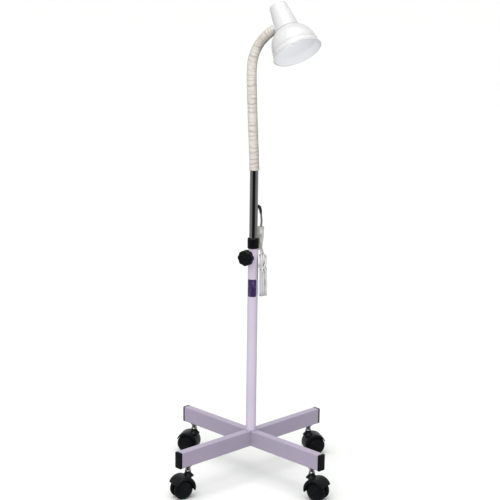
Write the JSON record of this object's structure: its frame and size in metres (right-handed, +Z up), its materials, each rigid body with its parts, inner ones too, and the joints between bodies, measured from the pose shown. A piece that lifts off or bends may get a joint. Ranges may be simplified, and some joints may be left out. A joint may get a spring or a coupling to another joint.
{
  "type": "examination lamp",
  "caption": "Wheeled examination lamp: cross base on casters, telescopic post with clamp knob, flexible neck and round shade.",
  "frame": {"origin": "on the floor under the axis of the post", "axes": "+Z up along the post; +X towards the side the neck bends to; -Y is the front"},
  "size_m": [0.3942, 0.372, 1.187],
  "materials": {
    "painted_frame": "semi-gloss lavender-white powder coat",
    "black_plastic": "fine-textured moulded plastic",
    "caster_black": "moulded nylon with a softer tread",
    "label_violet": "plain dark violet film, no print",
    "zinc_plated": "bright zinc plate",
    "chrome": "polished chrome plate",
    "brass": "plain brass",
    "nickel": "nickel plate",
    "guide_nylon": "natural nylon",
    "grommet_rubber": "soft black rubber",
    "neck_sleeve": "ivory crinkled vinyl sleeve over flexible steel conduit",
    "white_enamel": "gloss white stove enamel",
    "holder_white": "moulded thermoset",
    "bulb_glass": "opal glass",
    "lead_white": "soft white PVC sheath",
    "switch_cream": "moulded cream plastic",
    "tie_white": "soft white plastic strip"
  },
  "bodies": {
    "base": {"base_bar": "painted_frame", "base_arm_left": "painted_frame", "base_arm_right": "painted_frame", "end_caps": "black_plastic", "post": "painted_frame", "post_label": "label_violet", "mast_collar": "black_plastic", "clamp_boss": "painted_frame", "caster_stems": "zinc_plated", "caster_nuts": "zinc_plated"},
    "clamp_shoe": {"clamp_shoe": "brass"},
    "clamp_knob": {"clamp_stud": "zinc_plated", "clamp_knob": "black_plastic"},
    "mast_slider": {"mast_guide": "guide_nylon"},
    "mast": {"mast_tube": "chrome", "cord_grommet": "grommet_rubber", "neck_socket": "neck_sleeve", "cord_upper": "lead_white", "switch_base": "switch_cream", "switch_cover": "switch_cream", "cord_lower": "lead_white", "cord_hank": "lead_white", "cord_tie": "tie_white", "cord_tail": "lead_white", "plug_body": "switch_cream", "plug_pins": "nickel"},
    "switch_rocker": {"switch_rocker": "switch_cream"},
    "neck_link_1": {"neck_link_1": "neck_sleeve"},
    "neck_link_2": {"neck_link_2": "neck_sleeve"},
    "neck_link_3": {"neck_link_3": "neck_sleeve"},
    "neck_link_4": {"neck_link_4": "neck_sleeve"},
    "neck_link_5": {"neck_link_5": "neck_sleeve"},
    "neck_link_6": {"neck_link_6": "neck_sleeve"},
    "neck_link_7": {"neck_link_7": "neck_sleeve"},
    "neck_link_8": {"neck_link_8": "neck_sleeve"},
    "neck_link_9": {"neck_link_9": "neck_sleeve"},
    "neck_end": {"neck_end_fitting": "neck_sleeve", "head_nipple": "zinc_plated", "head_locknut": "zinc_plated"},
    "head": {"socket_housing": "white_enamel", "holder_bracket": "zinc_plated", "holder_nut": "zinc_plated", "lampholder": "holder_white", "lamp_contacts": "brass", "shade_ring": "holder_white", "shade": "white_enamel", "bulb_glass": "bulb_glass", "bulb_cap": "nickel"},
    "caster_fl": {"caster_hood_fl": "black_plastic"},
    "wheels_fl": {"caster_axle_fl": "zinc_plated", "caster_wheels_fl": "caster_black"},
    "caster_fr": {"caster_hood_fr": "black_plastic"},
    "wheels_fr": {"caster_axle_fr": "zinc_plated", "caster_wheels_fr": "caster_black"},
    "caster_br": {"caster_hood_br": "black_plastic"},
    "wheels_br": {"caster_axle_br": "zinc_plated", "caster_wheels_br": "caster_black"},
    "caster_bl": {"caster_hood_bl": "black_plastic"},
    "wheels_bl": {"caster_axle_bl": "zinc_plated", "caster_wheels_bl": "caster_black"}
  },
  "joints": [
    {"name": "mast_height", "type": "slide", "parent": "base", "child": "mast_slider", "axis": [0, 0, 1], "range_m": [0, 0.35]},
    {"name": "mast_turn", "type": "hinge", "parent": "mast_slider", "child": "mast", "pos_m": [0, 0, 0.18], "axis": [0, 0, 1], "range_deg": [-30, 120]},
    {"name": "clamp_travel", "type": "slide", "parent": "base", "child": "clamp_shoe", "axis": [-0.4384, -0.8988, 0], "range_m": [0, 0.0025]},
    {"name": "clamp_turn", "type": "hinge", "parent": "clamp_shoe", "child": "clamp_knob", "pos_m": [-0.01315, -0.02696, 0.572], "axis": [-0.4384, -0.8988, 0], "range_deg": [0, 720]},
    {"name": "neck_bend_1", "type": "hinge", "parent": "mast", "child": "neck_link_1", "pos_m": [0, 0, 0.802], "axis": [0, 1, 0], "range_deg": [-15, 21]},
    {"name": "neck_bend_2", "type": "hinge", "parent": "neck_link_1", "child": "neck_link_2", "pos_m": [-0.00191, 0, 0.83845], "axis": [0, 1, 0], "range_deg": [-18, 18]},
    {"name": "neck_sway_3", "type": "hinge", "parent": "neck_link_2", "child": "neck_link_3", "pos_m": [-0.00382, 0, 0.8749], "axis": [1, 0, 0], "range_deg": [-20, 20]},
    {"name": "neck_bend_4", "type": "hinge", "parent": "neck_link_3", "child": "neck_link_4", "pos_m": [-0.00541, 0, 0.91136], "axis": [0, 1, 0], "range_deg": [-18, 18]},
    {"name": "neck_bend_5", "type": "hinge", "parent": "neck_link_4", "child": "neck_link_5", "pos_m": [-0.007, 0, 0.94783], "axis": [0, 1, 0], "range_deg": [-18.5, 17.5]},
    {"name": "neck_sway_6", "type": "hinge", "parent": "neck_link_5", "child": "neck_link_6", "pos_m": [-0.00828, 0, 0.98431], "axis": [1, 0, 0], "range_deg": [-20, 20]},
    {"name": "neck_bend_7", "type": "hinge", "parent": "neck_link_6", "child": "neck_link_7", "pos_m": [-0.00955, 0, 1.02079], "axis": [0, 1, 0], "range_deg": [-31, 17]},
    {"name": "neck_bend_8", "type": "hinge", "parent": "neck_link_7", "child": "neck_link_8", "pos_m": [-0.00637, 0, 1.05715], "axis": [0, 1, 0], "range_deg": [-44, 4]},
    {"name": "neck_bend_9", "type": "hinge", "parent": "neck_link_8", "child": "neck_link_9", "pos_m": [0.00905, 0, 1.09023], "axis": [0, 1, 0], "range_deg": [-44.5, 3.5]},
    {"name": "neck_bend_10", "type": "hinge", "parent": "neck_link_9", "child": "neck_end", "pos_m": [0.03509, 0, 1.11581], "axis": [0, 1, 0], "range_deg": [-44.1, 3.9]},
    {"name": "head_turn", "type": "hinge", "parent": "neck_end", "child": "head", "pos_m": [0.07015, 0, 1.13172], "axis": [0.9107, 0, 0.4131], "range_deg": [-120, 120]},
    {"name": "switch_rock", "type": "hinge", "parent": "mast", "child": "switch_rocker", "pos_m": [0.018, 0.0112, 0.627], "axis": [1, 0, 0], "range_deg": [0, 10]},
    {"name": "caster_swivel_fl", "type": "hinge", "parent": "base", "child": "caster_fl", "pos_m": [-0.15061, -0.15061, 0.06], "axis": [0, 0, 1], "continuous": true},
    {"name": "wheel_spin_fl", "type": "hinge", "parent": "caster_fl", "child": "wheels_fl", "pos_m": [-0.16588, -0.16015, 0.0245], "axis": [0.5299, -0.848, 0], "continuous": true},
    {"name": "caster_swivel_fr", "type": "hinge", "parent": "base", "child": "caster_fr", "pos_m": [0.15061, -0.15061, 0.06], "axis": [0, 0, 1], "continuous": true},
    {"name": "wheel_spin_fr", "type": "hinge", "parent": "caster_fr", "child": "wheels_fr", "pos_m": [0.16588, -0.16015, 0.0245], "axis": [0.5299, 0.848, 0], "continuous": true},
    {"name": "caster_swivel_br", "type": "hinge", "parent": "base", "child": "caster_br", "pos_m": [0.15061, 0.15061, 0.06], "axis": [0, 0, 1], "continuous": true},
    {"name": "wheel_spin_br", "type": "hinge", "parent": "caster_br", "child": "wheels_br", "pos_m": [0.168, 0.15527, 0.0245], "axis": [-0.2588, 0.9659, 0], "continuous": true},
    {"name": "caster_swivel_bl", "type": "hinge", "parent": "base", "child": "caster_bl", "pos_m": [-0.15061, 0.15061, 0.06], "axis": [0, 0, 1], "continuous": true},
    {"name": "wheel_spin_bl", "type": "hinge", "parent": "caster_bl", "child": "wheels_bl", "pos_m": [-0.168, 0.15527, 0.0245], "axis": [-0.2588, -0.9659, 0], "continuous": true}
  ],
  "couplings": [
    {"joint": "clamp_travel", "follows": "clamp_turn", "m_per_rad": 0.00019894}
  ]
}
